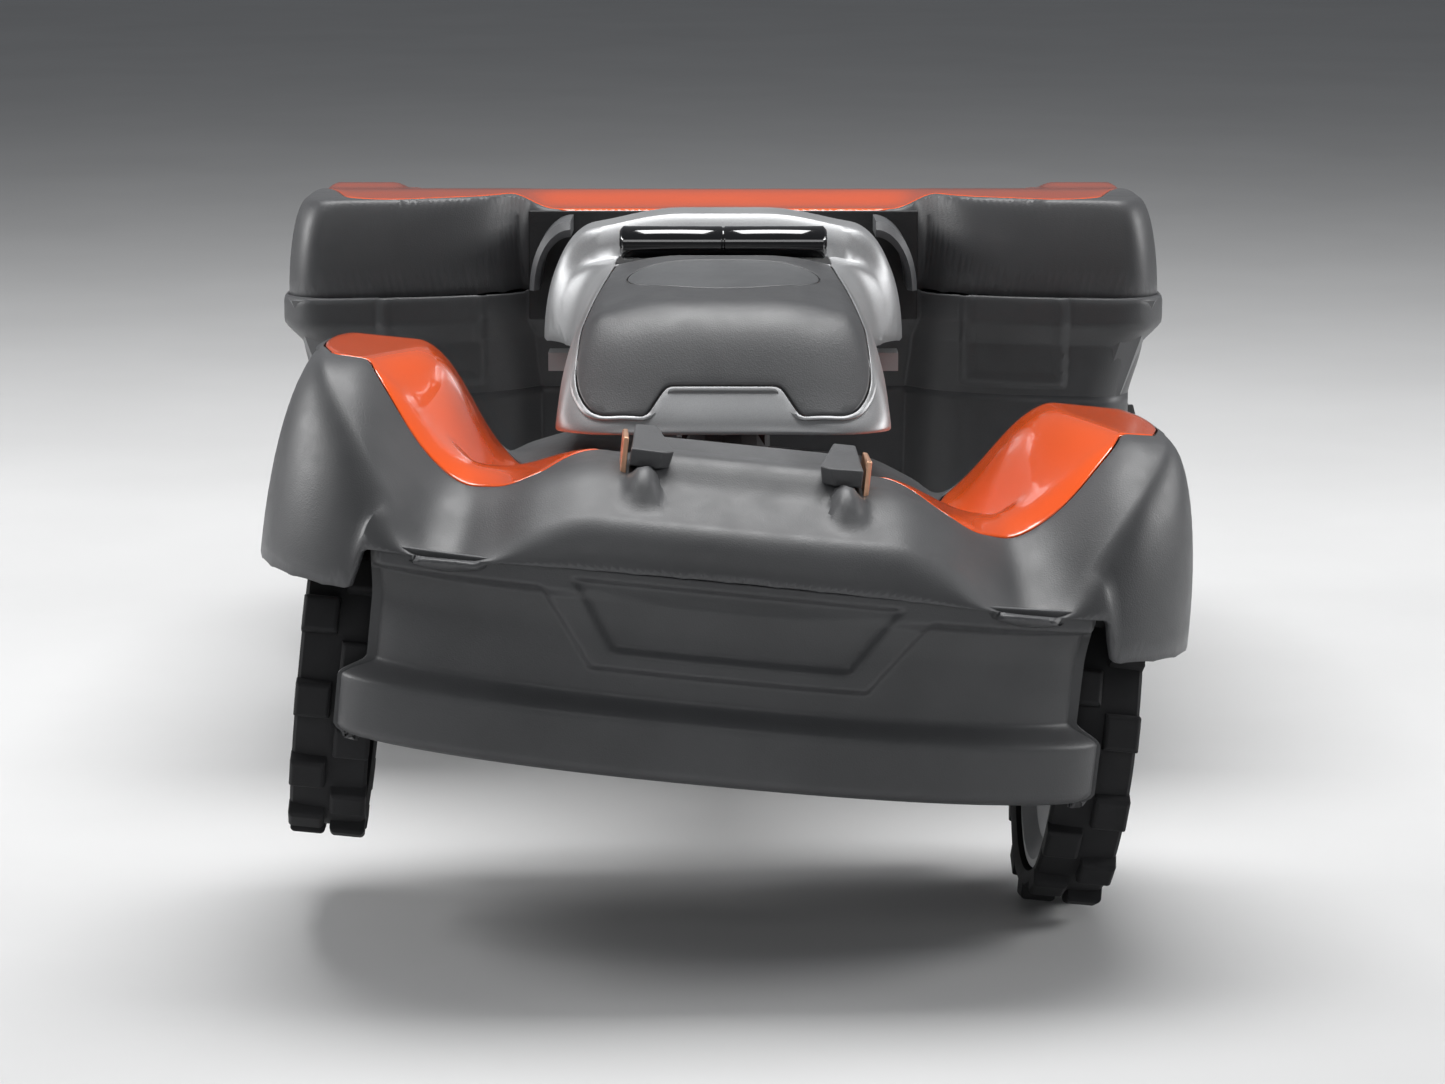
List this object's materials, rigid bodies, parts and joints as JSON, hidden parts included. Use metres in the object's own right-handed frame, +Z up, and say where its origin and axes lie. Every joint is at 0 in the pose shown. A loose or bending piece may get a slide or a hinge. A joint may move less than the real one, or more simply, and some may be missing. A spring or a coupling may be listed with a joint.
{
  "type": "robotic lawn mower",
  "caption": "Articulated all-wheel-drive robotic lawn mower: rolling front body with fenders and bumper, neck with stop bar, rear box with cutting disc, steered rear axle.",
  "frame": {"origin": "centre of the bounding box's floor, on the ground", "axes": "+Y to the rear, +Z up, +X to the right of someone facing the front"},
  "size_m": [0.5544, 0.9464, 0.3332],
  "materials": {
    "dark_shell": "fine textured dark grey plastic",
    "orange_gloss": "glossy orange plastic",
    "silver_frame": "satin silver-grey paint",
    "gloss_black": "glossy black plastic",
    "badge_grey": "smooth grey plate with no lettering",
    "tyre_rubber": "black tread rubber",
    "hub_grey": "satin grey plastic",
    "chassis_black": "black glass-filled plastic",
    "contact_copper": "brushed copper-coloured contact metal",
    "steel": "ground steel",
    "motor_case": "die-cast motor housing",
    "circuit_board": "green circuit board",
    "battery_case": "black battery case"
  },
  "bodies": {
    "main_body": {"rear_upper_shell": "dark_shell", "rear_deck_insert": "orange_gloss", "rear_tub": "dark_shell", "battery_pack": "battery_case", "control_board": "circuit_board", "neck_frame": "silver_frame", "neck_cover": "dark_shell", "neck_badge": "badge_grey", "neck_tab_left": "silver_frame", "neck_tab_right": "silver_frame", "swivel_bearing": "chassis_black", "kingpin_bearing": "steel", "steering_motor": "motor_case", "height_guide": "steel"},
    "stop_bar": {"stop_bar": "gloss_black"},
    "front_body": {"front_hood": "dark_shell", "hood_insert": "orange_gloss", "front_bumper": "dark_shell", "contact_block": "dark_shell", "contact_strip_left": "contact_copper", "contact_strip_right": "contact_copper", "front_chassis": "chassis_black", "roll_pin": "steel", "front_gearmotor_left": "motor_case", "front_gearmotor_right": "motor_case"},
    "front_left_wheel": {"front_left_tyre": "tyre_rubber", "front_left_hub": "hub_grey"},
    "front_right_wheel": {"front_right_tyre": "tyre_rubber", "front_right_hub": "hub_grey"},
    "rear_bogie": {"rear_axle_beam": "chassis_black", "rear_gearmotor_left": "motor_case", "rear_gearmotor_right": "motor_case"},
    "rear_left_wheel": {"rear_left_tyre": "tyre_rubber", "rear_left_hub": "hub_grey"},
    "rear_right_wheel": {"rear_right_tyre": "tyre_rubber", "rear_right_hub": "hub_grey"},
    "height_carriage": {"height_carriage": "chassis_black", "blade_motor": "motor_case"},
    "blade_disc": {"blade_disc": "chassis_black"},
    "blade_1": {"blade_1": "steel"},
    "blade_2": {"blade_2": "steel"},
    "blade_3": {"blade_3": "steel"},
    "skid_plate": {"skid_plate": "chassis_black"}
  },
  "joints": [
    {"name": "front_roll", "type": "hinge", "parent": "main_body", "child": "front_body", "pos_m": [0, -0.32009, 0.17311], "axis": [0, 0.9505, 0.3107], "range_deg": [-16.4, 3.6]},
    {"name": "rear_steer", "type": "hinge", "parent": "main_body", "child": "rear_bogie", "pos_m": [0, 0.29781, 0.09958], "axis": [0, 0.0332, 0.9995], "range_deg": [-40, 4]},
    {"name": "front_left_spin", "type": "hinge", "parent": "front_body", "child": "front_left_wheel", "pos_m": [-0.19039, -0.32838, 0.14014], "axis": [0.9938, 0.0346, -0.106], "continuous": true},
    {"name": "front_right_spin", "type": "hinge", "parent": "front_body", "child": "front_right_wheel", "pos_m": [0.17929, -0.3155, 0.10072], "axis": [0.9938, 0.0346, -0.106], "continuous": true},
    {"name": "rear_left_spin", "type": "hinge", "parent": "rear_bogie", "child": "rear_left_wheel", "pos_m": [-0.2292, 0.22338, 0.10205], "axis": [0.9511, 0.3088, -0.0102], "continuous": true},
    {"name": "rear_right_spin", "type": "hinge", "parent": "rear_bogie", "child": "rear_right_wheel", "pos_m": [0.2292, 0.37225, 0.09711], "axis": [0.9511, 0.3088, -0.0102], "continuous": true},
    {"name": "cutting_height", "type": "slide", "parent": "main_body", "child": "height_carriage", "axis": [0, 0.0332, 0.9995], "range_m": [-0.02, 0.02]},
    {"name": "disc_spin", "type": "hinge", "parent": "height_carriage", "child": "blade_disc", "pos_m": [0, 0.06852, 0.06416], "axis": [0, 0.0332, 0.9995], "continuous": true},
    {"name": "skid_spin", "type": "hinge", "parent": "height_carriage", "child": "skid_plate", "pos_m": [0, 0.06852, 0.06416], "axis": [0, 0.0332, 0.9995], "continuous": true},
    {"name": "stop_press", "type": "slide", "parent": "main_body", "child": "stop_bar", "axis": [0, -0.0332, -0.9995], "range_m": [0, 0.004], "stiffness_N_per_m": 800, "springref_m": -0.001},
    {"name": "blade_1_pivot", "type": "hinge", "parent": "blade_disc", "child": "blade_1", "pos_m": [0, 0.1564, 0.05925], "axis": [0, 0.0332, 0.9995], "range_deg": [-150, 150]},
    {"name": "blade_2_pivot", "type": "hinge", "parent": "blade_disc", "child": "blade_2", "pos_m": [-0.07621, 0.02447, 0.06362], "axis": [0, 0.0332, 0.9995], "range_deg": [-150, 150]},
    {"name": "blade_3_pivot", "type": "hinge", "parent": "blade_disc", "child": "blade_3", "pos_m": [0.07621, 0.02447, 0.06362], "axis": [0, 0.0332, 0.9995], "range_deg": [-150, 150]}
  ]
}
